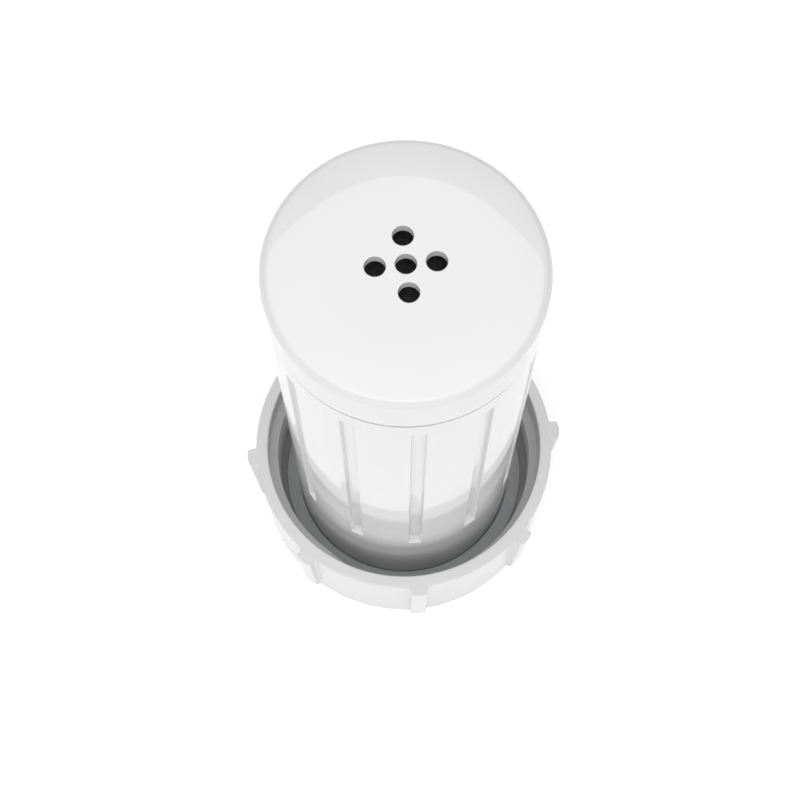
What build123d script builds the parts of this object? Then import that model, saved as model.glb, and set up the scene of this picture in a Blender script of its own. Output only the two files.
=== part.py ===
# Water filter cartridge standing in the lugged screw cap of a water tank.
# The cap screws onto the tank's neck, the cartridge stands inside the neck, and a
# sprung plunger in the cap's floor lets the filtered water out.
# Z = 0 is the underside of the cap and +Z runs up the common axis. Millimetres.
from build123d import *
import os
from math import cos, radians, sin, tan

os.makedirs("parts", exist_ok=True)

# ---- Driving dimensions ------------------------------------------------------------
# Heights of the outside
cap_height = 25.2
neck_to_seam = 84.7
lid_height = 11.8

# Cartridge
lid_radius = 25.0
body_radius = 24.9
body_wall = 2.2
lid_wall = 1.9
grip_grooves = 12
grip_groove_width = 2.9
grip_groove_depth = 0.85
grip_groove_top_gap = 5.0
grip_groove_length = 74.7
inlet_hole_d = 3.72
inlet_hole_pitch = 5.27

# Cap
cap_rim_radius = 33.7
cap_foot_radius = 33.3
cap_bore_radius = 31.05
cap_floor = 2.0
lugs = 8
lug_tip_radius = 35.85
lug_foot_tip_radius = 34.6
lug_width = 3.4
lug_flare = 0.8
lug_flare_arc = 1.1
lug_crown = 0.45
lug_root = 0.6

# Screw thread inside the cap
thread_pitch = 4.5
thread_turns = 2.7
thread_height = 1.85
thread_crest = 0.8
thread_flank = 40.0
thread_top_gap = 6.0

# Spigot that the cartridge pushes onto, and its O-ring
spigot_radius = 17.0
spigot_bore_radius = 14.5
spigot_top = 16.0
spigot_ring_z = 12.55
spigot_ring_wire = 0.72
spigot_ring_centre = 16.6

# Outlet valve
well_bore_radius = 8.0
well_radius = 9.6
well_depth = 7.0
well_roof = 1.6
port_radius = 4.5
seat_height = 0.6
seal_thickness = 1.6
stem_radius = 1.6
stem_tip_z = 7.1
stem_top_z = 21.0
stem_flange = 1.2
guide_roof_z = 17.0
guide_roof = 1.5
spring_wire_d = 0.7
spring_radius = 3.4
spring_coils = 4

# Filter stack, from the bottom up
socket_radius = 17.4
socket_wall = 2.0
deck_z = 24.0
deck_thickness = 2.0
stack_radius = 22.4
grid_thickness = 1.6
mesh_thickness = 0.3
felt_thickness = 3.0
resin_height = 67.1
grid_hole_d = 2.4
grid_ring_pitch = 3.6
grid_rings = 4

# Fits
slide_gap = 0.1
bottom_gap = 0.2
skirt_gap = 0.2
foam_gap = 0.3

# ---- Heights worked out from them --------------------------------------------------
seam_z = cap_height + neck_to_seam
top_z = seam_z + lid_height
body_bore = body_radius - body_wall
seat_z = well_depth + well_roof + seat_height
flange_z = seat_z + seal_thickness
spring_z = flange_z + stem_flange
grid_z = deck_z + deck_thickness
lower_mesh_z = grid_z + grid_thickness
lower_felt_z = lower_mesh_z + mesh_thickness
resin_z = lower_felt_z + felt_thickness
upper_felt_z = resin_z + resin_height
upper_mesh_z = upper_felt_z + felt_thickness
spreader_z = upper_mesh_z + mesh_thickness
foam_z = spreader_z + grid_thickness
ceiling_z = top_z - lid_wall
rib_drop = 2.0
skirt_bore = 20.6
skirt_radius = body_bore - skirt_gap
skirt_bottom_z = foam_z + 0.4


def finish(piece, name):
    """Label a finished piece and write its file."""
    piece.part.label = name
    export_step(piece.part, f"parts/{name}.step")


def turned(*outline, mode=Mode.ADD):
    """Turn a closed outline of (radius, height) points round the Z axis."""
    with BuildSketch(Plane.XZ) as section:
        with BuildLine():
            Polyline(*outline, close=True)
        make_face()
    revolve(section.sketch, axis=Axis.Z, mode=mode)


def tube(outer, inner, low, high, mode=Mode.ADD):
    """A plain ring or tube between two heights."""
    turned((inner, low), (outer, low), (outer, high), (inner, high), mode=mode)


def lug_face(tip, wall, height):
    """Plan of one grip lug at a height: flared into the wall, with a rounded tip."""
    half = lug_width / 2
    wide = half + lug_flare
    waist = wall + lug_flare
    inside = wall - 0.1
    root = wall - lug_root
    shoulder = tip - lug_crown
    with BuildSketch(Plane.XY.offset(height)) as plan:
        with BuildLine():
            Line((waist, -half), (shoulder, -half))
            ThreePointArc((shoulder, -half), (tip, 0), (shoulder, half))
            Line((shoulder, half), (waist, half))
            RadiusArc((waist, half), (inside, wide), -lug_flare_arc)
            Polyline((inside, wide), (root, wide), (root, -wide), (inside, -wide))
            RadiusArc((inside, -wide), (waist, -half), -lug_flare_arc)
        make_face()
    return plan.sketch


# ---- Screw cap ---------------------------------------------------------------------
# One moulding: floor, skirt with the tank-neck thread inside and eight grip lugs
# outside, the spigot for the cartridge, and the well that holds the outlet valve.
foot_recess = 0.4
foot_ring_bore = 28.5
foot_round = 0.5
rim_break = 0.35
spigot_lead = 0.6
lug_foot_z = 0.4
well_foot_radius = well_radius + 1
well_top = well_depth + well_roof
ring_groove_radius = spigot_ring_centre - 0.8
ring_groove_half = 0.95
seat_outer = 6.0
seat_inner = 5.2
thread_root = cap_bore_radius + 0.25
thread_depth = thread_root - (cap_bore_radius - thread_height)
thread_foot = thread_crest / 2 + thread_depth * tan(radians(thread_flank))
thread_length = thread_pitch * thread_turns
thread_start_z = cap_height - thread_top_gap - thread_length
with BuildPart() as tank_cap:
    with BuildSketch(Plane.XZ) as cap_section:
        with BuildLine():
            Polyline(
                (well_bore_radius, 0), (well_foot_radius, 0), (well_foot_radius, foot_recess),
                (foot_ring_bore, foot_recess), (foot_ring_bore, 0), (cap_foot_radius, 0),
                (cap_rim_radius, cap_height), (cap_bore_radius, cap_height),
                (cap_bore_radius, cap_floor), (spigot_radius, cap_floor),
                (spigot_radius, spigot_ring_z - ring_groove_half),
                (ring_groove_radius, spigot_ring_z - ring_groove_half),
                (ring_groove_radius, spigot_ring_z + ring_groove_half),
                (spigot_radius, spigot_ring_z + ring_groove_half),
                (spigot_radius, spigot_top), (spigot_bore_radius, spigot_top),
                (spigot_bore_radius, cap_floor), (well_radius, cap_floor),
                (well_radius, well_top), (seat_outer, well_top), (seat_outer, seat_z),
                (seat_inner, seat_z), (seat_inner, well_top), (port_radius, well_top),
                (port_radius, well_depth), (well_bore_radius, well_depth), close=True)
        make_face()
        fillet(cap_section.vertices().sort_by_distance((cap_foot_radius, 0))[0], foot_round)
        fillet(cap_section.vertices().sort_by_distance((cap_rim_radius, cap_height))[0], rim_break)
        chamfer(cap_section.vertices().sort_by_distance((cap_bore_radius, cap_height))[0], rim_break)
        chamfer(cap_section.vertices().sort_by_distance((spigot_radius, spigot_top))[0],
                spigot_lead)
    revolve(axis=Axis.Z)
    for lug_angle in range(0, 360, 360 // lugs):
        turn_lug = Rot(0, 0, lug_angle)
        lug_bottom = turn_lug * lug_face(lug_foot_tip_radius, cap_foot_radius, lug_foot_z)
        lug_top = turn_lug * lug_face(lug_tip_radius, cap_rim_radius, cap_height)
        loft([lug_bottom, lug_top])
    with BuildLine(mode=Mode.PRIVATE) as thread_path:
        Helix(thread_pitch, thread_length, thread_root, center=(0, 0, thread_start_z))
    with BuildSketch(Plane.XZ) as thread_section:
        with BuildLine():
            Polyline(
                (thread_root, thread_start_z - thread_foot),
                (thread_root - thread_depth, thread_start_z - thread_crest / 2),
                (thread_root - thread_depth, thread_start_z + thread_crest / 2),
                (thread_root, thread_start_z + thread_foot), close=True)
        make_face()
    sweep(thread_section.sketch, path=thread_path.line, is_frenet=True)
finish(tank_cap, "tank_cap")

# ---- Neck gasket -------------------------------------------------------------------
# Flat ring on the cap's floor that the tank's neck presses on. It is just small
# enough to pass the thread, and it fits closely round the cartridge.
gasket_radius = 28.2
gasket_bore = body_radius + 0.08
gasket_thickness = 2.2
gasket_round = 0.3
with BuildPart() as neck_gasket:
    tube(gasket_radius, gasket_bore, cap_floor, cap_floor + gasket_thickness)
    fillet(neck_gasket.edges(), gasket_round)
finish(neck_gasket, "neck_gasket")

# ---- Spigot O-ring -----------------------------------------------------------------
# Sits in the spigot's groove and seals against the cartridge's socket.
with BuildPart() as spigot_o_ring:
    with BuildSketch(Plane.XZ):
        with Locations((spigot_ring_centre, spigot_ring_z)):
            Circle(spigot_ring_wire)
    revolve(axis=Axis.Z)
finish(spigot_o_ring, "spigot_o_ring")

# ---- Valve guide -------------------------------------------------------------------
# Cage that stands over the valve well. Water enters through its four windows, and
# its roof holds the spring down and steers the stem's upper end.
guide_bore = well_radius + 0.1
guide_radius = 11.2
guide_window_width = 9.0
guide_window_low = 9.6
guide_window_high = 15.6
guide_hole_radius = stem_radius + 0.2
guide_top = guide_roof_z + guide_roof
guide_window_z = (guide_window_low + guide_window_high) / 2
guide_window_height = guide_window_high - guide_window_low
guide_vents = 6
guide_vent_radius = 1.4
guide_vent_circle = 7.4
guide_round = 0.5
with BuildPart() as valve_guide:
    turned((guide_bore, cap_floor), (guide_radius, cap_floor), (guide_radius, guide_top),
           (guide_hole_radius, guide_top), (guide_hole_radius, guide_roof_z),
           (guide_bore, guide_roof_z))
    with BuildSketch(Plane.YZ):
        with Locations((0, guide_window_z)):
            Rectangle(guide_window_width, guide_window_height)
    extrude(amount=guide_radius + 1, both=True, mode=Mode.SUBTRACT)
    with BuildSketch(Plane.XZ):
        with Locations((0, guide_window_z)):
            Rectangle(guide_window_width, guide_window_height)
    extrude(amount=guide_radius + 1, both=True, mode=Mode.SUBTRACT)
    with BuildSketch(Plane.XY.offset(guide_roof_z)):
        with PolarLocations(guide_vent_circle, guide_vents):
            Circle(guide_vent_radius)
    extrude(amount=guide_roof, mode=Mode.SUBTRACT)
    fillet(valve_guide.edges().filter_by(GeomType.CIRCLE).group_by(Axis.Z)[-1][-1],
           guide_round)
finish(valve_guide, "valve_guide")

# ---- Valve stem --------------------------------------------------------------------
# Plunger that the appliance's post lifts: a rod with a flange that carries the seal,
# four fins that centre it in the port, and a groove for the clip.
flange_radius = 6.2
spring_seat_radius = 2.7
spring_seat_top = spring_z + 0.8
tip_round = 0.35
stem_lead = 0.4
fin_radius = port_radius - 0.3
fin_thickness = 0.9
fin_gap = 0.4
clip_z = guide_top + 0.35
clip_thickness = 0.5
clip_groove_radius = 1.15
with BuildPart() as valve_stem:
    turned((0, stem_tip_z), (stem_radius, stem_tip_z), (stem_radius, flange_z),
           (flange_radius, flange_z), (flange_radius, spring_z), (spring_seat_radius, spring_z),
           (spring_seat_radius, spring_seat_top), (stem_radius, spring_seat_top),
           (stem_radius, clip_z), (clip_groove_radius, clip_z),
           (clip_groove_radius, clip_z + clip_thickness), (stem_radius, clip_z + clip_thickness),
           (stem_radius, stem_top_z), (0, stem_top_z))
    fillet(valve_stem.faces().sort_by(Axis.Z)[0].edges(), tip_round)
    chamfer(valve_stem.faces().sort_by(Axis.Z)[-1].edges(), stem_lead)
    with BuildSketch(Plane.XY.offset(stem_tip_z + fin_gap)):
        Rectangle(2 * fin_radius, fin_thickness)
        Rectangle(fin_thickness, 2 * fin_radius)
    extrude(amount=seat_z - stem_tip_z - fin_gap - slide_gap)
finish(valve_stem, "valve_stem")

# ---- Valve seal --------------------------------------------------------------------
# Rubber washer under the stem's flange that closes on the seat round the port.
seal_radius = 6.8
seal_bore = stem_radius + 0.03
seal_round = 0.3
with BuildPart() as valve_seal:
    tube(seal_radius, seal_bore, seat_z, flange_z)
    fillet(valve_seal.edges().filter_by(GeomType.CIRCLE).sort_by(SortBy.RADIUS)[-2:], seal_round)
finish(valve_seal, "valve_seal")

# ---- Valve spring ------------------------------------------------------------------
# Coil between the stem's flange and the guide's roof that keeps the valve shut.
spring_low = spring_z + spring_wire_d / 2
spring_high = guide_roof_z - spring_wire_d / 2
with BuildPart() as valve_spring:
    with BuildLine() as coil:
        Helix((spring_high - spring_low) / spring_coils, spring_high - spring_low, spring_radius,
              center=(0, 0, spring_low))
    with BuildSketch(Plane(coil.line @ 0, z_dir=coil.line % 0)):
        Circle(spring_wire_d / 2)
    sweep(is_frenet=True)
finish(valve_spring, "valve_spring")

# ---- Stem clip ---------------------------------------------------------------------
# Spring clip in the stem's groove that stops it dropping out of the guide.
clip_radius = 2.9
clip_bore = clip_groove_radius + 0.02
clip_slot = 1.6
with BuildPart() as stem_clip:
    with BuildSketch(Plane.XY.offset(clip_z)):
        Circle(clip_radius)
        Circle(clip_bore, mode=Mode.SUBTRACT)
        Rectangle(clip_radius + 1, clip_slot, align=(Align.MIN, Align.CENTER), mode=Mode.SUBTRACT)
    extrude(amount=clip_thickness)
finish(stem_clip, "stem_clip")

# ---- Cartridge body ----------------------------------------------------------------
# Straight tube with twelve shallow grip grooves. Its lower end stands inside the cap,
# and a step round its upper end makes the seam under the lid.
groove_top = seam_z - grip_groove_top_gap
groove_low = groove_top - grip_groove_length
groove_floor_width = grip_groove_width - 0.5
body_lead = 0.4
seam_step_height = 0.45
seam_step_depth = 0.6
with BuildPart() as cartridge_body:
    tube(body_radius, body_bore, cap_floor + bottom_gap, seam_z)
    chamfer(cartridge_body.faces().sort_by(Axis.Z)[0].outer_wire().edges(), body_lead)
    tube(body_radius + 1, body_radius - seam_step_depth, seam_z - seam_step_height, seam_z,
         mode=Mode.SUBTRACT)
    with BuildSketch(Plane.XY.offset(groove_low)):
        with PolarLocations(body_radius - grip_groove_depth, grip_grooves):
            Polygon((0, -groove_floor_width / 2), (grip_groove_depth, -grip_groove_width / 2),
                    (grip_groove_depth + 1, -grip_groove_width / 2),
                    (grip_groove_depth + 1, grip_groove_width / 2),
                    (grip_groove_depth, grip_groove_width / 2), (0, groove_floor_width / 2),
                    align=None)
    extrude(amount=grip_groove_length, mode=Mode.SUBTRACT)
finish(cartridge_body, "cartridge_body")

# ---- Cartridge base ----------------------------------------------------------------
# Closes the body's lower end: a socket that pushes onto the spigot, a flange and ribs
# that reach the body's wall, and a deck that carries the filter stack.
base_radius = body_bore - slide_gap
base_low = cap_floor + 2 * bottom_gap
socket_outer = socket_radius + socket_wall
base_flange = 2.0
base_ribs = 8
base_rib_width = 1.2
base_rib_root = 0.5
deck_bore = socket_radius - 1.4
socket_lead = 0.6
with BuildPart() as cartridge_base:
    turned((socket_radius, base_low), (base_radius, base_low), (base_radius, base_low + base_flange),
           (socket_outer, base_low + base_flange), (socket_outer, deck_z), (base_radius, deck_z),
           (base_radius, grid_z), (deck_bore, grid_z), (deck_bore, deck_z),
           (socket_radius, deck_z))
    chamfer(cartridge_base.faces().sort_by(Axis.Z)[0].inner_wires()[0].edges(), socket_lead)
    with BuildSketch(Plane.XY.offset(base_low + base_flange)):
        with PolarLocations(socket_outer - base_rib_root, base_ribs, start_angle=22.5):
            Rectangle(base_rib_root + base_radius - socket_outer - slide_gap, base_rib_width,
                      align=(Align.MIN, Align.CENTER))
    extrude(amount=deck_z - base_low - base_flange)
finish(cartridge_base, "cartridge_base")


# ---- Perforated discs --------------------------------------------------------------
def perforated_disc(name, low):
    """Stiff disc with rings of round holes that spreads the flow over the stack."""
    with BuildPart() as disc:
        with BuildSketch(Plane.XY.offset(low)):
            Circle(stack_radius)
            Circle(grid_hole_d / 2, mode=Mode.SUBTRACT)
            for ring in range(1, grid_rings + 1):
                with PolarLocations(ring * grid_ring_pitch, 6 * ring):
                    Circle(grid_hole_d / 2, mode=Mode.SUBTRACT)
        extrude(amount=grid_thickness)
    finish(disc, name)


perforated_disc("support_grid", grid_z)
perforated_disc("spreader_plate", spreader_z)


# ---- Filter stack ------------------------------------------------------------------
def layer(name, low, thickness, radius=stack_radius):
    """One plain round layer of the filter stack."""
    with BuildPart() as disc:
        with BuildSketch(Plane.XY.offset(low)):
            Circle(radius)
        extrude(amount=thickness)
    finish(disc, name)


layer("lower_mesh", lower_mesh_z, mesh_thickness)
layer("lower_felt", lower_felt_z, felt_thickness)
layer("resin_bed", resin_z, resin_height)
layer("upper_felt", upper_felt_z, felt_thickness)
layer("upper_mesh", upper_mesh_z, mesh_thickness)
layer("foam_pad", foam_z, ceiling_z - rib_drop - foam_z - slide_gap, skirt_bore - foam_gap)

# ---- Cartridge lid -----------------------------------------------------------------
# Cup with five inlet holes. Its skirt plugs into the body, and ribs under its roof
# keep the foam clear of the holes.
lid_edge = 2.2
crown_flat_radius = 14.0
crown_slope = radians(12)
crown_radius = lid_radius - lid_edge * (1 - sin(crown_slope))
crown_curve = (crown_radius - crown_flat_radius) / sin(crown_slope)
crown_z = top_z - crown_curve * (1 - cos(crown_slope))
edge_foot_z = crown_z - lid_edge * cos(crown_slope)
seam_groove = 0.15
lid_ring_z = 107.2
lid_ring_wire = 0.5
lid_groove_half = 0.7
lid_groove_radius = skirt_radius - 0.9
lid_ribs = 8
lid_rib_width = 1.2
lid_rib_start = 8.5
with BuildPart() as cartridge_lid:
    with BuildSketch(Plane.XZ):
        with BuildLine():
            Polyline((0, ceiling_z), (skirt_bore, ceiling_z), (skirt_bore, skirt_bottom_z),
                     (skirt_radius, skirt_bottom_z), (skirt_radius, lid_ring_z - lid_groove_half),
                     (lid_groove_radius, lid_ring_z - lid_groove_half),
                     (lid_groove_radius, lid_ring_z + lid_groove_half),
                     (skirt_radius, lid_ring_z + lid_groove_half),
                     (skirt_radius, seam_z + seam_groove),
                     (lid_radius, seam_z + seam_groove), (lid_radius, edge_foot_z))
            RadiusArc((lid_radius, edge_foot_z), (crown_radius, crown_z), -lid_edge)
            RadiusArc((crown_radius, crown_z), (crown_flat_radius, top_z), -crown_curve)
            Polyline((crown_flat_radius, top_z), (0, top_z), (0, ceiling_z))
        make_face()
    revolve(axis=Axis.Z)
    with BuildSketch(Plane.XY.offset(ceiling_z - rib_drop)):
        with PolarLocations((lid_rib_start + skirt_bore) / 2, lid_ribs, start_angle=22.5):
            Rectangle(skirt_bore - lid_rib_start + 0.4, lid_rib_width)
    extrude(amount=rib_drop)
    with BuildSketch(Plane.XY.offset(ceiling_z - 0.5)):
        Circle(inlet_hole_d / 2)
        with PolarLocations(inlet_hole_pitch, 4):
            Circle(inlet_hole_d / 2)
    extrude(amount=lid_wall + 1, mode=Mode.SUBTRACT)
finish(cartridge_lid, "cartridge_lid")

# ---- Lid seal ----------------------------------------------------------------------
# O-ring on the lid's skirt that keeps fine beads from leaving at the seam.
with BuildPart() as lid_seal:
    with BuildSketch(Plane.XZ):
        with Locations((lid_groove_radius + lid_ring_wire + 0.03, lid_ring_z)):
            Circle(lid_ring_wire)
    revolve(axis=Axis.Z)
finish(lid_seal, "lid_seal")
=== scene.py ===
from math import atan2, cos, pi, radians, sin, tan

import bmesh
import bpy
import numpy as np
from mathutils import Matrix, Vector, noise


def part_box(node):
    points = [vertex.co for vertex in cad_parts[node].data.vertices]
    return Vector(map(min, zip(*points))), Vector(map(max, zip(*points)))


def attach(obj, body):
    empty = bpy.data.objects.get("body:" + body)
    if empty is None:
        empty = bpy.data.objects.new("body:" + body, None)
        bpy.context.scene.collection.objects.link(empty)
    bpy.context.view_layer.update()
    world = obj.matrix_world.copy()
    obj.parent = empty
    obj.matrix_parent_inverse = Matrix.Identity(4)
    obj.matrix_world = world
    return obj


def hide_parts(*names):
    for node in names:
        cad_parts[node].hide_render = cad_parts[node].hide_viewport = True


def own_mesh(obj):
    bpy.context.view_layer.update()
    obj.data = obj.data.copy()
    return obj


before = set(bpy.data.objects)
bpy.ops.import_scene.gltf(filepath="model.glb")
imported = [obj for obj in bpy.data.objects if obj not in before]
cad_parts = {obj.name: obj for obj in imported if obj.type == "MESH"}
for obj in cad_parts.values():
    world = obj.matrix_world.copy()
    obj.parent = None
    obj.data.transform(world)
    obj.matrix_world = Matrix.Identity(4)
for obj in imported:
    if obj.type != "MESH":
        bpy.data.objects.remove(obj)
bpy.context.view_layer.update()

# ==== Studio =========================================================================
# The part stands on a plain pale floor in an even white light, seen steeply from
# above and a little to the left of its front lug.
mm = 0.001
camera_turn = radians(-5.7)
camera_pitch = radians(70.21)
camera_roll = radians(0.18)
camera_reach = Vector((-0.037, -4.276, 9.648))
seam_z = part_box("cartridge_body")[1].z
lid_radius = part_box("cartridge_lid")[1].x
scene = bpy.context.scene
scene.view_settings.view_transform = "Standard"

turntable = Matrix.Rotation(camera_turn, 3, "Z")
forward = turntable @ Vector((0, cos(camera_pitch), -sin(camera_pitch)))
level = turntable @ Vector((1, 0, 0))
lift = level.cross(forward)
camera_right = level * cos(camera_roll) + lift * sin(camera_roll)
camera_up = lift * cos(camera_roll) - level * sin(camera_roll)
camera_data = bpy.data.cameras.new("camera")
camera_data.sensor_width = 36
camera_data.lens = 67.5
camera_data.clip_start = 0.01
camera = bpy.data.objects.new("camera", camera_data)
scene.collection.objects.link(camera)
facing = Matrix((camera_right, camera_up, -forward)).transposed()
camera.matrix_world = facing.to_4x4()
camera.location = turntable @ (camera_reach * lid_radius) + Vector((0, 0, seam_z))
scene.camera = camera

# The air lights the part faintly, and is plain white where it is looked at.
air_light = 0.17
world = bpy.data.worlds.new("studio_air")
world.use_nodes = True
air = world.node_tree
glow = air.nodes["Background"]
glow.inputs["Color"].default_value = (1, 1, 1, 1)
sight = air.nodes.new("ShaderNodeLightPath")
strength = air.nodes.new("ShaderNodeMapRange")
strength.inputs["To Min"].default_value = air_light
strength.inputs["To Max"].default_value = 1.0
air.links.new(sight.outputs["Is Camera Ray"], strength.inputs["Value"])
air.links.new(strength.outputs["Result"], glow.inputs["Strength"])
scene.world = world


def soft_box(name, shape, place, width, depth, radiance):
    """A soft light of an even radiance: place is from the part, on the camera's axes."""
    data = bpy.data.lights.new(name, "AREA")
    data.shape = shape
    data.size = width
    data.size_y = depth
    data.energy = radiance * pi * width * depth * (pi / 4 if shape == "ELLIPSE" else 1)
    light = bpy.data.objects.new(name, data)
    scene.collection.objects.link(light)
    light.location = turntable @ Vector(place)
    return light


overhead = soft_box("overhead_box", "ELLIPSE", (-0.12, -0.76, 1.52), 4.0, 3.52, 1.62)
overhead.rotation_euler = (0, 0, camera_turn)
front = soft_box("front_box", "RECTANGLE", (0.0, -1.0, 0.9), 1.7, 0.12, 3.2)
front.rotation_mode = "QUATERNION"
front.rotation_quaternion = (Vector((0, 0, seam_z)) - front.location).to_track_quat("-Z", "Y")


class Value:
    """A shader socket: an expression on it adds its Math nodes."""

    def __init__(self, finish, socket):
        self.finish = finish
        self.socket = socket

    def math(self, operation, first, second=None):
        return self.finish.node("Math", {"operation": operation}, first, second)

    def __add__(self, other):
        return self.math("ADD", self, other)

    def __radd__(self, other):
        return self.math("ADD", other, self)

    def __sub__(self, other):
        return self.math("SUBTRACT", self, other)

    def __rsub__(self, other):
        return self.math("SUBTRACT", other, self)

    def __mul__(self, other):
        return self.math("MULTIPLY", self, other)

    def __rmul__(self, other):
        return self.math("MULTIPLY", other, self)

class Finish:
    """A node material for one of the part's finishes."""

    def __init__(self, name, **constants):
        self.data = bpy.data.materials.new(name)
        self.data.use_nodes = True
        self.tree = self.data.node_tree
        self.shader = self.tree.nodes["Principled BSDF"]
        for socket_name, amount in constants.items():
            self.shader.inputs[socket_name.replace("_", " ")].default_value = amount

    def node(self, kind, settings, *values, out=0, **named):
        """Add a node: its settings first, then its inputs by order or by name."""
        made = self.tree.nodes.new("ShaderNode" + kind)
        for key, setting in settings.items():
            if key == "stops":
                stops = made.color_ramp.elements
                for index, (place, colour) in enumerate(setting):
                    stop = stops[index] if index < len(stops) else stops.new(place)
                    stop.position = place
                    stop.color = colour
            else:
                setattr(made, key, setting)
        for key, value in [*enumerate(values), *named.items()]:
            socket = made.inputs[key.replace("_", " ") if isinstance(key, str) else key]
            if isinstance(value, Value):
                self.tree.links.new(value.socket, socket)
            elif value is not None:
                socket.default_value = value
        return Value(self, made.outputs[out])

    def noise(self, scale, detail=2.0, rough=0.5):
        """Smooth noise on the part's own coordinates, with scale in features a metre."""
        place = self.node("TexCoord", {}, out="Object")
        return self.node("TexNoise", {}, out="Fac", Vector=place, Scale=scale, Detail=detail,
                         Roughness=rough)

    def cells(self, scale):
        """Distance to the nearest of scattered points, with scale in points a metre."""
        place = self.node("TexCoord", {}, out="Object")
        return self.node("TexVoronoi", {"feature": "F1"}, out="Distance", Vector=place,
                         Scale=scale)

    def blend(self, mask, low, high):
        """A colour between two, by a mask."""
        return self.node("ValToRGB", {"stops": [(0.0, low), (1.0, high)]}, mask)

    def feed(self, socket_name, value):
        self.tree.links.new(value.socket, self.shader.inputs[socket_name])

    def bump(self, height, distance):
        self.feed("Normal", self.node("Bump", {}, Height=height, Distance=distance, Strength=1.0))


def grey(level):
    return (level, level, level, 1)


floor_half = 3.0
floor_mesh = bpy.data.meshes.new("floor")
floor_mesh.from_pydata([(-floor_half, -floor_half, 0), (floor_half, -floor_half, 0),
                        (floor_half, floor_half, 0), (-floor_half, floor_half, 0)], [],
                       [(0, 1, 2, 3)])
floor = bpy.data.objects.new("floor", floor_mesh)
scene.collection.objects.link(floor)
floor_paint = Finish("floor_paint", Roughness=1.0, Specular_IOR_Level=0.0, Emission_Strength=0.15,
                     Emission_Color=(1, 1, 1, 1))
floor_paint.feed("Base Color", floor_paint.blend(floor_paint.noise(4.0), grey(0.96), grey(0.98)))
floor_mesh.materials.append(floor_paint.data)

# ==== Cartridge body =================================================================
# Straight tube of glossy white plastic, moulded in one with twelve shallow grip
# grooves. The lid closes its top and the base is welded into its foot.
body_low, body_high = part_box("cartridge_body")
body_radius = body_high.x
body_bore = body_radius - 2.2 * mm
groove_count = 12
groove_depth = 0.85 * mm
groove_half = 1.45 * mm
groove_floor_half = 1.2 * mm
groove_end = 0.14 * mm
groove_high_z = seam_z - 5.0 * mm
groove_low_z = groove_high_z - 74.7 * mm
seam_gap = 0.5 * mm
seam_trench_depth = 0.8 * mm
seam_trench_low = 1.5 * mm


def rounded(corners, closed=True, steps=5):
    """Points along an outline of (x, y, rounding) corners, each rounded by an arc."""
    points = []
    count = len(corners)
    for index, (x, y, rounding) in enumerate(corners):
        here = Vector((x, y))
        if rounding == 0 or (not closed and index in (0, count - 1)):
            points.append(here)
            continue
        before = (Vector(corners[index - 1][:2]) - here).normalized()
        after = (Vector(corners[(index + 1) % count][:2]) - here).normalized()
        half_turn = before.angle(after) / 2
        reach = rounding / tan(half_turn)
        centre = here + (before + after).normalized() * rounding / sin(half_turn)
        first = here + before * reach - centre
        last = here + after * reach - centre
        start = atan2(first.y, first.x)
        sweep = (atan2(last.y, last.x) - start + pi) % (2 * pi) - pi
        points.append(here + before * reach * 1.3)
        for step in range(steps + 1):
            angle = start + sweep * step / steps
            points.append(centre + rounding * Vector((cos(angle), sin(angle))))
        points.append(here + after * reach * 1.3)
    return points


def smooth_step(amount):
    clipped = np.clip(amount, 0, 1)
    return clipped * clipped * (3 - 2 * clipped)


def sheet_faces(rows, columns, rows_closed, columns_closed, first=0):
    """The quads of a grid of points, closed round either way."""
    row_count = rows if rows_closed else rows - 1
    column_count = columns if columns_closed else columns - 1
    faces = []
    for row in range(row_count):
        below = first + row * columns
        above = first + (row + 1) % rows * columns
        for column in range(column_count):
            beside = (column + 1) % columns
            faces.append((below + column, below + beside, above + beside, above + column))
    return faces


def made_mesh(name, points, faces, sharp=40):
    """A welded mesh with its faces outwards, smooth except at sharp corners."""
    mesh = bpy.data.meshes.new(name)
    mesh.from_pydata([tuple(map(float, point)) for point in points], [], faces)
    shell = bmesh.new()
    shell.from_mesh(mesh)
    bmesh.ops.remove_doubles(shell, verts=shell.verts, dist=0.0005 * mm)
    bmesh.ops.recalc_face_normals(shell, faces=shell.faces)
    if shell.calc_volume(signed=True) < 0:
        bmesh.ops.reverse_faces(shell, faces=shell.faces)
    shell.to_mesh(mesh)
    shell.free()
    mesh.shade_smooth()
    mesh.set_sharp_from_angle(angle=radians(sharp))
    return mesh


def made_piece(name, mesh, finish, body, stands_for):
    """Put a finished mesh in the scene as a piece that rides on a body."""
    piece = bpy.data.objects.new(name, mesh)
    scene.collection.objects.link(piece)
    mesh.materials.clear()
    mesh.materials.append(finish.data)
    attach(piece, body)
    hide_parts(*stands_for)
    return piece


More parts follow.
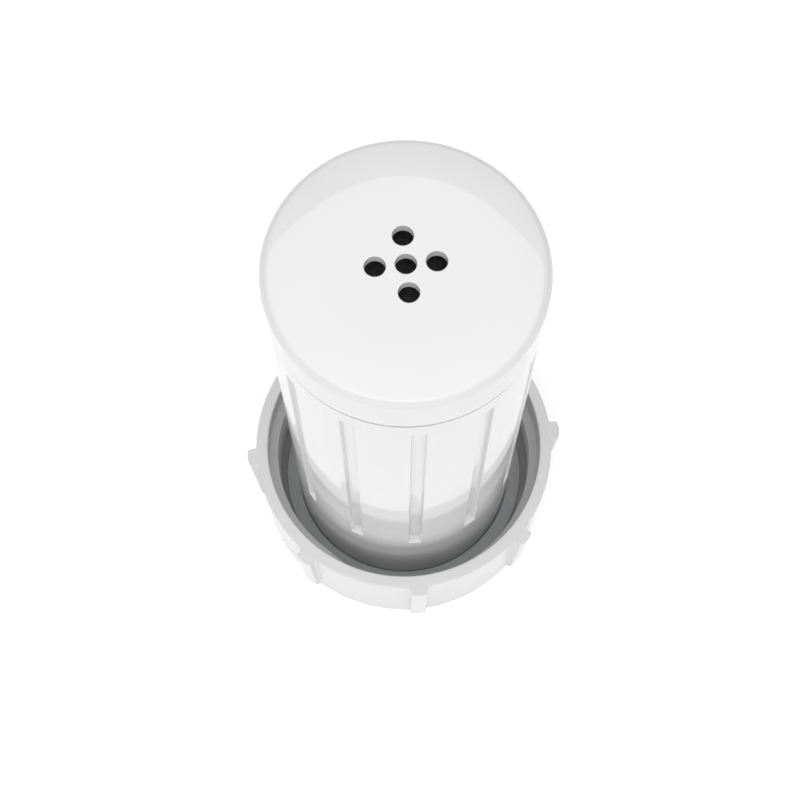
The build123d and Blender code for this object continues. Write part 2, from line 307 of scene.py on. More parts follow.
def repeat_tree():
    """Node tree that repeats a mesh round the Z axis, welds it and gives it a material."""
    tree = bpy.data.node_groups.new("repeat_round_axis", "GeometryNodeTree")
    sockets = tree.interface
    sockets.new_socket("Geometry", in_out="INPUT", socket_type="NodeSocketGeometry")
    sockets.new_socket("Count", in_out="INPUT", socket_type="NodeSocketInt")
    sockets.new_socket("Weld Distance", in_out="INPUT", socket_type="NodeSocketFloat")
    sockets.new_socket("Material", in_out="INPUT", socket_type="NodeSocketMaterial")
    sockets.new_socket("Geometry", in_out="OUTPUT", socket_type="NodeSocketGeometry")
    add = tree.nodes.new
    link = tree.links.new
    source = add("NodeGroupInput")
    result = add("NodeGroupOutput")
    points = add("GeometryNodePoints")
    place = add("GeometryNodeInstanceOnPoints")
    index = add("GeometryNodeInputIndex")
    step = add("ShaderNodeMath")
    step.operation = "DIVIDE"
    step.inputs[0].default_value = 2 * pi
    angle = add("ShaderNodeMath")
    angle.operation = "MULTIPLY"
    turn = add("ShaderNodeCombineXYZ")
    rotation = add("FunctionNodeEulerToRotation")
    realize = add("GeometryNodeRealizeInstances")
    weld = add("GeometryNodeMergeByDistance")
    paint = add("GeometryNodeSetMaterial")
    link(source.outputs["Count"], points.inputs["Count"])
    link(source.outputs["Count"], step.inputs[1])
    link(index.outputs[0], angle.inputs[0])
    link(step.outputs[0], angle.inputs[1])
    link(angle.outputs[0], turn.inputs["Z"])
    link(turn.outputs[0], rotation.inputs[0])
    link(points.outputs[0], place.inputs["Points"])
    link(source.outputs["Geometry"], place.inputs["Instance"])
    link(rotation.outputs[0], place.inputs["Rotation"])
    link(place.outputs[0], realize.inputs[0])
    link(realize.outputs[0], weld.inputs["Geometry"])
    link(source.outputs["Weld Distance"], weld.inputs["Distance"])
    link(weld.outputs[0], paint.inputs["Geometry"])
    link(source.outputs["Material"], paint.inputs["Material"])
    link(paint.outputs[0], result.inputs[0])
    return tree


repeat_round_axis = repeat_tree()


def baked(mesh, tree, inputs, sharp=40):
    """The mesh that a node tree makes of another, with the tree's inputs by name."""
    carrier = bpy.data.objects.new("carrier", mesh)
    scene.collection.objects.link(carrier)
    modifier = carrier.modifiers.new("nodes", "NODES")
    modifier.node_group = tree
    for item in tree.interface.items_tree:
        if item.in_out == "INPUT" and item.name in inputs:
            modifier[item.identifier] = inputs[item.name]
    bpy.context.view_layer.update()
    depsgraph = bpy.context.evaluated_depsgraph_get()
    made = bpy.data.meshes.new_from_object(carrier.evaluated_get(depsgraph), depsgraph=depsgraph)
    bpy.data.objects.remove(carrier)
    made.shade_smooth()
    made.set_sharp_from_angle(angle=radians(sharp))
    return made


def moulded_plastic(name, low, high, rough, peel_depth):
    """Glossy moulding: faint clouding, uneven polish and a fine orange peel."""
    finish = Finish(name, IOR=1.49)
    finish.feed("Base Color", finish.blend(finish.noise(60.0, 3.0), grey(low), grey(high)))
    finish.feed("Roughness", finish.noise(220.0, 4.0, 0.6) * (rough * 0.6) + rough * 0.7)
    finish.bump(finish.noise(1100.0) + finish.noise(4200.0, 1.0) * 0.3, peel_depth)
    return finish


cartridge_plastic = moulded_plastic("cartridge_plastic", 0.695, 0.715, 0.045, 0.0002 * mm)

half_arc = pi / groove_count * body_radius
wall_arcs = np.concatenate([
    np.linspace(0, groove_floor_half - 0.1 * mm, 3), np.linspace(groove_floor_half, groove_half, 6),
    [groove_half + 0.1 * mm], np.linspace(groove_half + 0.8 * mm, half_arc, 5)])
column_arcs = np.concatenate([-wall_arcs[:0:-1], wall_arcs])
groove_ends = np.concatenate([
    [groove_low_z - 0.1 * mm], np.linspace(groove_low_z, groove_low_z + groove_end, 5),
    [groove_low_z + 0.3 * mm, groove_high_z - 0.3 * mm],
    np.linspace(groove_high_z - groove_end, groove_high_z, 5), [groove_high_z + 0.1 * mm]])
body_outline = rounded(
    [(body_radius, body_low.z, 0.4 * mm)] + [(body_radius, z, 0) for z in groove_ends]
    + [(body_radius, seam_z - seam_gap, 0.05 * mm),
       (body_radius - seam_trench_depth, seam_z - seam_trench_low, 0),
       (body_radius - seam_trench_depth, seam_z, 0), (body_bore, seam_z, 0.2 * mm),
       (body_bore, body_low.z, 0.2 * mm)])
across = smooth_step((groove_half - abs(column_arcs)) / (groove_half - groove_floor_half))
body_points = []
for x, z in body_outline:
    along = smooth_step(min(z - groove_low_z, groove_high_z - z) / groove_end)
    on_wall = x > body_radius - 0.01 * mm
    radii = x - groove_depth * along * across * on_wall
    angles = column_arcs / body_radius
    for radius, angle in zip(radii, angles):
        body_points.append((radius * cos(angle), radius * sin(angle), z))
body_sector = made_mesh("body_sector", body_points,
                        sheet_faces(len(body_outline), len(column_arcs), True, False))
body_mesh = baked(body_sector, repeat_round_axis, {
    "Count": groove_count, "Weld Distance": 0.002 * mm, "Material": cartridge_plastic.data}, 50)
made_piece("grooved_body", body_mesh, cartridge_plastic, "cartridge",
           ["cartridge_body"])

# ==== Cartridge lid ==================================================================
# Shallow cup of the same glossy plastic with a crowned roof and five inlet holes. Its
# skirt plugs into the body, and eight ribs under the roof keep the foam off the holes.
lid_low, lid_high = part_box("cartridge_lid")
top_z = lid_high.z
ceiling_z = top_z - 1.9 * mm
crown_flat = 14.0 * mm
crown_slope = radians(12)
lid_edge = 2.2 * mm
skirt_radius = body_bore - 0.2 * mm
skirt_bore = 20.6 * mm
edge_gap = 0.15 * mm
seal_groove_z = 107.2 * mm
seal_groove_half = 0.7 * mm
seal_groove_depth = 0.9 * mm
hole_radius = 1.86 * mm
hole_pitch = 5.27 * mm
hole_edge = 0.16 * mm
hole_field = 8.0 * mm
hole_sides = 48
hole_edge_steps = 6
crown_steps = 12
edge_steps = 16
round_sides = 192
rib_count = 8
rib_half = 0.6 * mm
rib_root = 0.3 * mm
rib_drop = 2 * mm
rib_reach = (8.5 * mm, 20.8 * mm)


def circle(radius, z, sides, centre=(0, 0)):
    """Points of a level circle."""
    return [(centre[0] + radius * cos(2 * pi * side / sides),
             centre[1] + radius * sin(2 * pi * side / sides), z) for side in range(sides)]


def turned(outline, sides):
    """Points of an outline of (radius, height) turned round the Z axis."""
    return [point for radius, z in outline for point in circle(radius, z, sides)]


def plate_with_holes(name, radius, z, centres, opening):
    """A flat disc with round openings, each with a narrow flat collar round it."""
    plate = bmesh.new()
    collar = opening + 0.06 * mm
    loops = [circle(radius, z, round_sides)]
    loops += [circle(collar, z, hole_sides, centre) for centre in centres]
    edges = []
    for loop in loops:
        corners = [plate.verts.new(point) for point in loop]
        edges += [plate.edges.new((corners[side - 1], corners[side]))
                  for side in range(len(corners))]
    bmesh.ops.triangle_fill(plate, use_beauty=True, edges=edges)
    mesh = bpy.data.meshes.new(name)
    plate.to_mesh(mesh)
    plate.free()
    points = [tuple(vertex.co) for vertex in mesh.vertices]
    faces = [tuple(face.vertices) for face in mesh.polygons]
    for centre in centres:
        first = len(points)
        points += circle(collar, z, hole_sides, centre) + circle(opening, z, hole_sides, centre)
        faces += sheet_faces(2, hole_sides, False, True, first)
    return points, faces


def joined(*shells):
    """One list of points and one of faces from several."""
    points = []
    faces = []
    for shell_points, shell_faces in shells:
        first = len(points)
        points += list(shell_points)
        faces += [tuple(first + corner for corner in face) for face in shell_faces]
    return points, faces


edge_x = lid_radius - lid_edge
crown_curve = (edge_x + lid_edge * sin(crown_slope) - crown_flat) / sin(crown_slope)
edge_z = top_z - crown_curve * (1 - cos(crown_slope)) - lid_edge * cos(crown_slope)
lid_outline = [(hole_field, top_z), (crown_flat - 1 * mm, top_z)]
for step in range(crown_steps + 1):
    slope = crown_slope * step / crown_steps
    lid_outline.append((crown_flat + crown_curve * sin(slope), top_z - crown_curve * (1 - cos(slope))))
for step in range(1, edge_steps + 1):
    slope = crown_slope + (pi / 2 - crown_slope) * step / edge_steps
    lid_outline.append((edge_x + lid_edge * sin(slope), edge_z + lid_edge * cos(slope)))
lid_outline += rounded([
    (lid_radius, edge_z - 0.3 * mm, 0), (lid_radius, seam_z + edge_gap, 0.05 * mm),
    (skirt_radius, seam_z + edge_gap, 0.1 * mm),
    (skirt_radius, seal_groove_z + seal_groove_half, 0.1 * mm),
    (skirt_radius - seal_groove_depth, seal_groove_z + seal_groove_half, 0.1 * mm),
    (skirt_radius - seal_groove_depth, seal_groove_z - seal_groove_half, 0.1 * mm),
    (skirt_radius, seal_groove_z - seal_groove_half, 0.1 * mm), (skirt_radius, lid_low.z, 0.6 * mm),
    (skirt_bore, lid_low.z, 0.4 * mm), (skirt_bore, ceiling_z, 0.8 * mm),
    (hole_field, ceiling_z, 0)], closed=False)
hole_centres = [(0, 0)] + [(hole_pitch * cos(pi * side / 2), hole_pitch * sin(pi * side / 2))
                           for side in range(4)]
hole_shells = []
for centre in hole_centres:
    wall = [(hole_radius + hole_edge * (1 - sin(pi / 2 * step / hole_edge_steps)),
             top_z - hole_edge * (1 - cos(pi / 2 * step / hole_edge_steps)))
            for step in range(hole_edge_steps + 1)]
    wall += [(hole_radius, top_z - hole_edge - 0.1 * mm), (hole_radius, ceiling_z)]
    hole_shells.append(([point for radius, z in wall
                         for point in circle(radius, z, hole_sides, centre)],
                        sheet_faces(len(wall), hole_sides, False, True)))
lid_shell = joined(
    (turned(lid_outline, round_sides), sheet_faces(len(lid_outline), round_sides, False, True)),
    plate_with_holes("roof", hole_field, top_z, hole_centres, hole_radius + hole_edge),
    plate_with_holes("ceiling", hole_field, ceiling_z, hole_centres, hole_radius), *hole_shells)
lid_mesh = made_mesh("lid", *lid_shell)
rib_outline = rounded([(-rib_half, rib_root, 0), (-rib_half, -rib_drop, 0.25 * mm),
                       (rib_half, -rib_drop, 0.25 * mm), (rib_half, rib_root, 0)])
rib_points = [(x, y, ceiling_z + z) for x in rib_reach for y, z in rib_outline]
rib_corners = len(rib_outline)
rib_faces = sheet_faces(2, rib_corners, False, True)
rib_faces += [tuple(range(rib_corners)), tuple(range(rib_corners, 2 * rib_corners))]
rib_turn = Matrix.Rotation(pi / rib_count, 3, "Z")
rib_mesh = made_mesh("lid_rib", [rib_turn @ Vector(point) for point in rib_points], rib_faces)
rib_ring = baked(rib_mesh, repeat_round_axis, {
    "Count": rib_count, "Weld Distance": 0.002 * mm, "Material": cartridge_plastic.data})
lid_with_ribs = bmesh.new()
lid_with_ribs.from_mesh(lid_mesh)
lid_with_ribs.from_mesh(rib_ring)
lid_with_ribs.to_mesh(lid_mesh)
lid_with_ribs.free()
lid_mesh.set_sharp_from_angle(angle=radians(40))
made_piece("lid", lid_mesh, cartridge_plastic, "cartridge",
           ["cartridge_lid"])

# ==== Lid seal =======================================================================
# Thin O-ring of pale grey silicone, moulded in one piece. It is stretched into the
# groove of the lid's skirt and seals it in the body's bore.
ring_cord_sides = 16


def spun(name, outline):
    """A closed outline turned round the Z axis into one welded shell."""
    return made_mesh(name, turned(outline, round_sides),
                     sheet_faces(len(outline), round_sides, True, True))


def ring_of_cord(name, centre_radius, z, cord_radius):
    """An O-ring."""
    leans = [2 * pi * side / ring_cord_sides for side in range(ring_cord_sides)]
    return spun(name, [(centre_radius + cord_radius * cos(lean), z + cord_radius * sin(lean))
                       for lean in leans])


silicone = Finish("silicone", IOR=1.43)
silicone.feed("Base Color", silicone.blend(silicone.noise(300.0), (0.57, 0.58, 0.59, 1),
                                           (0.65, 0.66, 0.67, 1)))
silicone.feed("Roughness", silicone.noise(900.0, 3.0) * 0.15 + 0.34)
silicone.bump(silicone.noise(5000.0), 0.01 * mm)
lid_ring = ring_of_cord("lid_o_ring", skirt_radius - 0.37 * mm, seal_groove_z, 0.5 * mm)
made_piece("lid_o_ring", lid_ring, silicone, "cartridge", ["lid_seal"])

# ==== Screw cap ======================================================================
# One satin white moulding: floor, skirt with the tank-neck thread inside and eight
# grip lugs outside, the cartridge's spigot and the well of the outlet valve.
cap_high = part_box("tank_cap")[1]
rim_z = cap_high.z
lug_count = 8
lug_reach = 2.15 * mm
lug_foot_reach = 1.3 * mm
lug_shoulder = 1.85 * mm
lug_tip_half = 1.68 * mm
lug_root_half = 1.95 * mm
lug_blend_half = 2.9 * mm
wall_columns = 9
foot_radius = 33.3 * mm
rim_radius = 33.7 * mm
cap_bore = 31.05 * mm
thread_pitch = 4.5 * mm
thread_turns = 2.7
thread_start_z = rim_z - 6.0 * mm - thread_pitch * thread_turns
thread_zone = (4.55 * mm, 21.75 * mm)
thread_depth = 1.85 * mm
thread_crest_half = 0.4 * mm
thread_flank = radians(40)
thread_fade = 0.07
floor_z = 2 * mm
spigot_radius = 17 * mm
spigot_bore = 14.5 * mm
spigot_z = 16 * mm
ring_seat_radius = 15.8 * mm
ring_seat_z = (11.6 * mm, 13.5 * mm)
well_radius = 9.6 * mm
well_z = 8.6 * mm
lip_radii = (5.2 * mm, 6 * mm)
lip_z = 9.2 * mm
outlet_radius = 4.5 * mm
socket_z = 7 * mm
socket_radius = 8 * mm
recess_radii = (10.6 * mm, 28.5 * mm)
recess_z = 0.4 * mm
foot_rounding = 0.25 * mm
cap_plastic = moulded_plastic("cap_plastic", 0.60, 0.63, 0.18, 0.0008 * mm)

lug_plan = rounded([
    (-lug_blend_half, 0, 0), (-lug_root_half, 0, 0.5 * mm), (-lug_tip_half, lug_shoulder, 0.3 * mm),
    (0, lug_reach, 2.0 * mm), (lug_tip_half, lug_shoulder, 0.3 * mm),
    (lug_root_half, 0, 0.5 * mm), (lug_blend_half, 0, 0)], closed=False, steps=2)
plain_arc = 2 * pi / lug_count * rim_radius - 2 * lug_blend_half
columns = []
for lug in range(lug_count):
    turn = 2 * pi * lug / lug_count
    columns += [(turn + x / rim_radius, reach / lug_reach) for x, reach in lug_plan]
    columns += [(turn + (lug_blend_half + plain_arc * step / wall_columns) / rim_radius, 0)
                for step in range(1, wall_columns)]
columns.append((columns[0][0] + 2 * pi, 0))
angles = np.array([angle for angle, reach in columns])
reaches = np.array([reach for angle, reach in columns])
cosines = np.cos(angles)
sines = np.sin(angles)


def cap_rows(rows):
    """Points of rows of (radii, heights) on the cap's columns."""
    return [(radius * cosine, radius * sine, z)
            for radii, heights in rows
            for radius, z, cosine, sine in zip(radii, heights, cosines, sines)]


under_outline = rounded([
    (cap_bore, thread_zone[0], 0), (cap_bore, floor_z, 0.6 * mm), (spigot_radius, floor_z, 0.3 * mm),
    (spigot_radius, ring_seat_z[0], 0.15 * mm), (ring_seat_radius, ring_seat_z[0], 0.15 * mm),
    (ring_seat_radius, ring_seat_z[1], 0.15 * mm), (spigot_radius, ring_seat_z[1], 0.15 * mm),
    (spigot_radius, spigot_z, 0.5 * mm), (spigot_bore, spigot_z, 0.3 * mm),
    (spigot_bore, floor_z, 0.3 * mm), (well_radius, floor_z, 0.3 * mm),
    (well_radius, well_z, 0.2 * mm), (lip_radii[1], well_z, 0.1 * mm), (lip_radii[1], lip_z, 0.2 * mm),
    (lip_radii[0], lip_z, 0.2 * mm), (lip_radii[0], well_z, 0.1 * mm),
    (outlet_radius, well_z, 0.15 * mm), (outlet_radius, socket_z, 0.2 * mm),
    (socket_radius, socket_z, 0.3 * mm), (socket_radius, 0, 0.3 * mm),
    (recess_radii[0], 0, 0.15 * mm), (recess_radii[0], recess_z, 0.1 * mm),
    (recess_radii[1], recess_z, 0.1 * mm), (recess_radii[1], 0, 0.15 * mm),
    (foot_radius, 0, 0)], closed=False, steps=2)[:-1]
wall_heights = np.concatenate([np.linspace(0.9, 2.1, 5), [6, 12, 18, 24]]) * mm
wall_outline = rounded(
    [(foot_radius - 1.5 * mm, 0, 0), (foot_radius, 0, foot_rounding)]
    + [(foot_radius + (rim_radius - foot_radius) * z / rim_z, z, 0) for z in wall_heights]
    + [(rim_radius, rim_z, 0.35 * mm), (cap_bore, rim_z, 0.4 * mm), (cap_bore, thread_zone[1], 0)],
    closed=False, steps=4)[1:]
cap_shell_rows = []
for x, z in wall_outline:
    reach = lug_foot_reach + (lug_reach - lug_foot_reach) * z / rim_z
    reach = reach * smooth_step((z - 0.35 * mm) / (1.2 * mm))
    on_wall = x > rim_radius - 0.6 * mm
    cap_shell_rows.append((x + reaches * reach * on_wall, np.full(len(angles), z)))
thread_half = thread_crest_half + thread_depth * tan(thread_flank)
thread_section = rounded([
    (-thread_pitch / 2, 0, 0), (-thread_half, 0, 0.12 * mm),
    (-thread_crest_half, thread_depth, 0.25 * mm), (thread_crest_half, thread_depth, 0.25 * mm),
    (thread_half, 0, 0.12 * mm), (thread_pitch / 2, 0, 0)], closed=False, steps=3)[:-1]
turns = angles / (2 * pi)
thread_rows = []
for lap in range(-2, 5):
    for offset, height in thread_section:
        heights = thread_start_z + thread_pitch * (turns + lap) + offset
        start = smooth_step((turns + lap) / thread_fade)
        fade = start * smooth_step((thread_turns - turns - lap) / thread_fade)
        inside = (heights > thread_zone[0]) & (heights < thread_zone[1])
        thread_rows.append((cap_bore - height * fade * inside, np.clip(heights, *thread_zone)))
thread_rows.reverse()
under_rows = [(np.full(len(angles), x), np.full(len(angles), z)) for x, z in under_outline]
cap_all_rows = cap_shell_rows + thread_rows + under_rows
cap_faces = sheet_faces(len(cap_all_rows), len(angles), True, False)
cap_mesh = made_mesh("screw_cap", cap_rows(cap_all_rows), cap_faces)
made_piece("screw_cap", cap_mesh, cap_plastic, "cap", ["tank_cap"])

# ==== Neck gasket ====================================================================
# Flat ring of the same pale grey silicone, die-cut and laid loose on the cap's floor,
# where the tank's neck presses on it.
gasket_low, gasket_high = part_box("neck_gasket")
gasket_bore = body_radius + 0.08 * mm
made_piece("gasket", spun("gasket", rounded([
    (gasket_bore, gasket_low.z, 0.3 * mm), (gasket_high.x, gasket_low.z, 0.3 * mm),
    (gasket_high.x, gasket_high.z, 0.3 * mm), (gasket_bore, gasket_high.z, 0.3 * mm)], steps=3)),
    silicone, "cap", ["neck_gasket"])

# ==== Spigot O-ring ==================================================================
# Moulded black rubber ring, greased, in the groove near the top of the cap's spigot. It
# seals the cartridge's socket and turns with the cartridge.
black_rubber = Finish("black_rubber", IOR=1.5)
black_rubber.feed("Base Color", black_rubber.blend(black_rubber.noise(400.0), grey(0.012), grey(0.03)))
black_rubber.feed("Roughness", black_rubber.noise(700.0, 3.0) * 0.25 + 0.28)
black_rubber.bump(black_rubber.noise(6000.0), 0.008 * mm)
spigot_ring = ring_of_cord("spigot_ring", 16.6 * mm, sum(ring_seat_z) / 2, 0.72 * mm)
made_piece("spigot_ring", spigot_ring, black_rubber, "seal_ring",
           ["spigot_o_ring"])

# ==== Outlet valve ===================================================================
# Natural-coloured mouldings in the cap's floor: a windowed guide that is pressed over
# the well, and the plunger with its rubber washer and the steel clip that keeps it in.
inner_plastic = Finish("inner_plastic", IOR=1.5)
inner_plastic.feed("Base Color", inner_plastic.blend(inner_plastic.noise(150.0, 3.0),
                                                     (0.66, 0.66, 0.63, 1), (0.74, 0.74, 0.71, 1)))
inner_plastic.feed("Roughness", inner_plastic.noise(400.0, 3.0) * 0.2 + 0.3)
inner_plastic.bump(inner_plastic.noise(2500.0), 0.012 * mm)
steel = Finish("steel", Metallic=1.0)
steel.feed("Base Color", steel.blend(steel.noise(1500.0, 3.0), grey(0.46), grey(0.60)))
steel.feed("Roughness", steel.noise(3000.0, 3.0) * 0.2 + 0.22)
steel.bump(steel.noise(9000.0), 0.003 * mm)


def coat(node_name, finish):
    """Give a carried-over CAD node its finish."""
    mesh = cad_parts[node_name].data
    mesh.materials.clear()
    mesh.materials.append(finish.data)


coat("valve_guide", inner_plastic)
coat("valve_stem", inner_plastic)
coat("valve_seal", black_rubber)
coat("stem_clip", steel)

# ==== Valve spring ===================================================================
# Coil of drawn stainless wire between the plunger's flange and the guide's roof. It is
# loose on the stem, and is squeezed as the plunger lifts.
spring_low, spring_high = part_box("valve_spring")
wire_radius = 0.35 * mm
coil_radius = 3.4 * mm
coil_turns = 4
coil_steps = 48
wire_sides = 10
coil_low = spring_low.z + wire_radius
coil_rise = spring_high.z - spring_low.z - 2 * wire_radius
coil_points = []
for step in range(coil_turns * coil_steps + 1):
    angle = 2 * pi * step / coil_steps
    outward = Vector((cos(angle), sin(angle), 0))
    centre = outward * coil_radius
    centre.z = coil_low + coil_rise * step / (coil_turns * coil_steps)
    for side in range(wire_sides):
        lean = 2 * pi * side / wire_sides
        coil_points.append(centre + wire_radius * (outward * cos(lean) + Vector((0, 0, sin(lean)))))
coil_rows = coil_turns * coil_steps + 1
coil_faces = sheet_faces(coil_rows, wire_sides, False, True)
coil_faces += [tuple(range(wire_sides)),
               tuple(range((coil_rows - 1) * wire_sides, coil_rows * wire_sides))]
spring = made_piece("spring", made_mesh("spring", coil_points, coil_faces), steel, "cap",
                    ["valve_spring"])
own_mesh(spring)

# ==== Cartridge base and grids =======================================================
# The ribbed socket that is welded into the body's lower end, of the body's own plastic,
# and the two perforated discs of natural plastic that hold the filling between them.
coat("cartridge_base", cartridge_plastic)
coat("support_grid", inner_plastic)
coat("spreader_plate", inner_plastic)

# ==== Woven meshes ===================================================================
# Discs of plain-woven polyester cloth over each grid, which keep the fine beads in.
stack_radius = 22.4 * mm
weave_pitch = 1.2 * mm
weave_wire_radius = 0.07 * mm


def weave_tree():
    """Node tree that weaves wires both ways over a round area."""
    tree = bpy.data.node_groups.new("woven_disc", "GeometryNodeTree")
    sockets = tree.interface
    sockets.new_socket("Geometry", in_out="INPUT", socket_type="NodeSocketGeometry")
    for name in ("Pitch", "Wire Radius", "Disc Radius", "Height"):
        sockets.new_socket(name, in_out="INPUT", socket_type="NodeSocketFloat")
    sockets.new_socket("Material", in_out="INPUT", socket_type="NodeSocketMaterial")
    sockets.new_socket("Geometry", in_out="OUTPUT", socket_type="NodeSocketGeometry")
    add = tree.nodes.new
    link = tree.links.new
    source = add("NodeGroupInput")

    def maths(operation, *values):
        made = add("ShaderNodeMath")
        made.operation = operation
        for socket, value in zip(made.inputs, values):
            if isinstance(value, (int, float)):
                socket.default_value = value
            else:
                link(value, socket)
        return made.outputs[0]

    pitch = source.outputs["Pitch"]
    reach = source.outputs["Disc Radius"]
    lanes = maths("FLOOR", maths("DIVIDE", reach, pitch))
    points = add("GeometryNodePoints")
    link(maths("ADD", maths("MULTIPLY", lanes, 2), 1), points.inputs["Count"])
    index = add("GeometryNodeInputIndex")
    lane = maths("MULTIPLY", maths("SUBTRACT", index.outputs[0], lanes), pitch)
    spot = add("ShaderNodeCombineXYZ")
    link(lane, spot.inputs["X"])
    link(spot.outputs[0], points.inputs["Position"])
    half_chord = maths("SQRT", maths("MAXIMUM", 0.0, maths(
        "SUBTRACT", maths("MULTIPLY", reach, reach), maths("MULTIPLY", lane, lane))))
    line = add("GeometryNodeCurvePrimitiveLine")
    line.inputs["Start"].default_value = (0, -1, 0)
    line.inputs["End"].default_value = (0, 1, 0)
    divided = add("GeometryNodeResampleCurve")
    link(line.outputs[0], divided.inputs["Curve"])
    link(maths("ADD", maths("MULTIPLY", lanes, 4), 1), divided.inputs["Count"])
    stretch = add("ShaderNodeCombineXYZ")
    stretch.inputs["X"].default_value = 1
    stretch.inputs["Z"].default_value = 1
    link(half_chord, stretch.inputs["Y"])
    warp = add("GeometryNodeInstanceOnPoints")
    link(points.outputs[0], warp.inputs["Points"])
    link(divided.outputs[0], warp.inputs["Instance"])
    link(stretch.outputs[0], warp.inputs["Scale"])
    laid = add("GeometryNodeRealizeInstances")
    link(warp.outputs[0], laid.inputs[0])
    place = add("GeometryNodeInputPosition")
    parts = add("ShaderNodeSeparateXYZ")
    link(place.outputs[0], parts.inputs[0])
    wave_x = maths("COSINE", maths("DIVIDE", maths("MULTIPLY", parts.outputs["X"], pi), pitch))
    wave_y = maths("COSINE", maths("DIVIDE", maths("MULTIPLY", parts.outputs["Y"], pi), pitch))
    swing = maths("MULTIPLY", source.outputs["Wire Radius"], maths("MULTIPLY", wave_x, wave_y))
    lifted = add("ShaderNodeCombineXYZ")
    link(swing, lifted.inputs["Z"])
    bend = add("GeometryNodeSetPosition")
    link(laid.outputs[0], bend.inputs["Geometry"])
    link(lifted.outputs[0], bend.inputs["Offset"])
    wire = add("GeometryNodeCurvePrimitiveCircle")
    wire.inputs["Resolution"].default_value = 5
    link(source.outputs["Wire Radius"], wire.inputs["Radius"])
    threads = add("GeometryNodeCurveToMesh")
    link(bend.outputs[0], threads.inputs["Curve"])
    link(wire.outputs[0], threads.inputs["Profile Curve"])
    threads.inputs["Fill Caps"].default_value = True
    crossed = add("GeometryNodeTransform")
    crossed.inputs["Rotation"].default_value = (pi, 0, pi / 2)
    link(threads.outputs[0], crossed.inputs["Geometry"])
    cloth = add("GeometryNodeJoinGeometry")
    link(threads.outputs[0], cloth.inputs[0])
    link(crossed.outputs[0], cloth.inputs[0])
    raised = add("GeometryNodeTransform")
    level = add("ShaderNodeCombineXYZ")
    link(source.outputs["Height"], level.inputs["Z"])
    link(cloth.outputs[0], raised.inputs["Geometry"])
    link(level.outputs[0], raised.inputs["Translation"])
    realize = add("GeometryNodeRealizeInstances")
    paint = add("GeometryNodeSetMaterial")
    result = add("NodeGroupOutput")
    link(raised.outputs[0], realize.inputs[0])
    link(realize.outputs[0], paint.inputs["Geometry"])
    link(source.outputs["Material"], paint.inputs["Material"])
    link(paint.outputs[0], result.inputs[0])
    return tree


woven_disc = weave_tree()
mesh_cloth = Finish("mesh_cloth", IOR=1.5)
mesh_cloth.feed("Base Color", mesh_cloth.blend(mesh_cloth.noise(900.0), grey(0.62), grey(0.74)))
mesh_cloth.feed("Roughness", mesh_cloth.noise(2500.0) * 0.2 + 0.38)
mesh_cloth.bump(mesh_cloth.noise(8000.0), 0.004 * mm)
for node_name in ("lower_mesh", "upper_mesh"):
    mesh_low, mesh_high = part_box(node_name)
    cloth_mesh = baked(bpy.data.meshes.new("woven"), woven_disc, {
        "Pitch": weave_pitch, "Wire Radius": weave_wire_radius, "Disc Radius": stack_radius - 0.1 * mm,
        "Height": (mesh_low.z + mesh_high.z) / 2, "Material": mesh_cloth.data})
    made_piece("woven_" + node_name, cloth_mesh, mesh_cloth, "cartridge", [node_name])

# ==== Felt discs =====================================================================
# Needled white polyester felt above and below the beads, cut a little rough and
# pressed flat between its neighbours, with softly rolled edges.
face_rings = 24
roll_steps = 12
pad_sides = 120


def soft_disc(name, low_z, high_z, radius, roll, dimple, coarse):
    """A soft round pad: rolled edges and gentle swells over its faces and side."""
    half = (high_z - low_z) / 2
    middle = (high_z + low_z) / 2
    outline = []
    for step in range(face_rings):
        outline.append((radius * step / face_rings * 0.97, -1.0, 0.0))
    for step in range(roll_steps + 1):
        lean = -pi / 2 + pi * step / roll_steps
        outline.append((radius - roll + roll * cos(lean), sin(lean), cos(lean)))
    for step in reversed(range(face_rings)):
        outline.append((radius * step / face_rings * 0.97, 1.0, 0.0))
    points = []
    for distance, face, side_weight in outline:
        for side in range(pad_sides):
            angle = 2 * pi * side / pad_sides
            place = Vector((distance * cos(angle), distance * sin(angle), face * half))
            swell = noise.noise(place / coarse + Vector((0, 0, low_z / coarse)))
            inset = dimple * (0.5 + 0.5 * swell)
            shrink = 1 - side_weight * inset / radius
            height = middle + face * (half - inset)
            points.append((place.x * shrink, place.y * shrink, height))
    return made_mesh(name, points, sheet_faces(len(outline), pad_sides, False, True), 80)


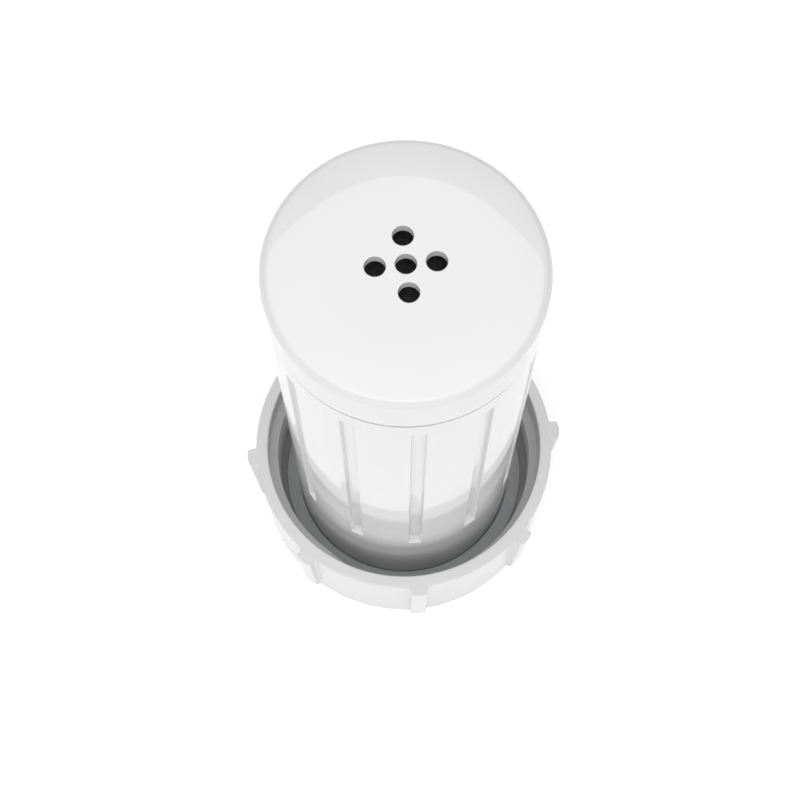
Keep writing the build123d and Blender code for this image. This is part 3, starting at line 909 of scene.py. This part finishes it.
felt = Finish("felt", Roughness=0.95, Sheen_Weight=0.3, Sheen_Roughness=0.5)
# One noise makes both the fibre bump and the colour, so the colour is darker where the bump dips.
fibres_and_dip_shade = felt.noise(2600.0, 4.0, 0.7)
# Base colour follows the fibre bump and is darker in its dips: partly fibre tone, partly painted shade
# in the dips.
felt.feed("Base Color", felt.blend(fibres_and_dip_shade, grey(0.55), grey(0.80)))
felt.bump(fibres_and_dip_shade + felt.noise(700.0, 3.0) * 0.6, 0.12 * mm)
for node_name in ("lower_felt", "upper_felt"):
    felt_low, felt_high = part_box(node_name)
    felt_disc = made_piece(
        "soft_" + node_name, soft_disc(node_name, felt_low.z, felt_high.z, stack_radius - 0.05 * mm,
                                       0.9 * mm, 0.12 * mm, 4 * mm),
        felt, "cartridge", [node_name])

# ==== Resin bed ======================================================================
# Amber ion-exchange beads a little under a millimetre across, packed to the walls.
resin_low, resin_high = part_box("resin_bed")
resin = Finish("resin", IOR=1.5)
# Distance to the nearest bead centre: it shapes the bead domes in the bump, and it also paints shade
# into the gaps between beads.
bead_domes_and_gap_shade = resin.cells(1150.0)
# Base colour runs from amber at each bead's centre to near black towards the gaps between beads:
# painted shade in the gaps.
resin.feed("Base Color", resin.blend(bead_domes_and_gap_shade * 1.3, (0.62, 0.30, 0.07, 1), (0.10, 0.035, 0.008, 1)))
resin.feed("Roughness", resin.noise(3000.0) * 0.2 + 0.22)
resin.bump(1 - bead_domes_and_gap_shade * bead_domes_and_gap_shade * 2.2, 0.35 * mm)
resin_steps = 60
resin_sides = 120
resin_corner = 0.3 * mm
resin_rise = resin_high.z - resin_low.z - 2 * resin_corner
resin_outline = [(0, resin_low.z), (stack_radius * 0.5, resin_low.z),
                 (stack_radius - resin_corner, resin_low.z)]
resin_outline += [(stack_radius, resin_low.z + resin_corner + resin_rise * step / resin_steps)
                  for step in range(resin_steps + 1)]
resin_outline += [(stack_radius - resin_corner, resin_high.z), (stack_radius * 0.5, resin_high.z),
                  (0, resin_high.z)]
resin_faces = sheet_faces(len(resin_outline), resin_sides, False, True)
made_piece("bead_bed", made_mesh("bead_bed", turned(resin_outline, resin_sides), resin_faces),
           resin, "cartridge", ["resin_bed"])

# ==== Foam pad =======================================================================
# Charcoal filter foam that fills the lid and presses the filling down. It is the dark
# thing behind the inlet holes.
foam_low, foam_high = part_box("foam_pad")
foam = Finish("foam", Roughness=0.95)
# Distance to the nearest pore: it sinks the pores in the bump, and it also paints shade into them.
pore_pits_and_shade = foam.cells(1300.0)
# Base colour is darkest at the pore centres, where the bump sinks into pits: painted shade in the
# pores over the charcoal's own near-black.
foam.feed("Base Color", foam.blend(pore_pits_and_shade * 1.4, grey(0.012), grey(0.035)))
foam.bump(pore_pits_and_shade + foam.noise(500.0, 3.0) * 0.5, 0.5 * mm)
foam_disc = made_piece("foam", soft_disc("foam", foam_low.z, foam_high.z, foam_high.x, 2.0 * mm,
                                         0.35 * mm, 6 * mm),
                       foam, "cartridge", ["foam_pad"])
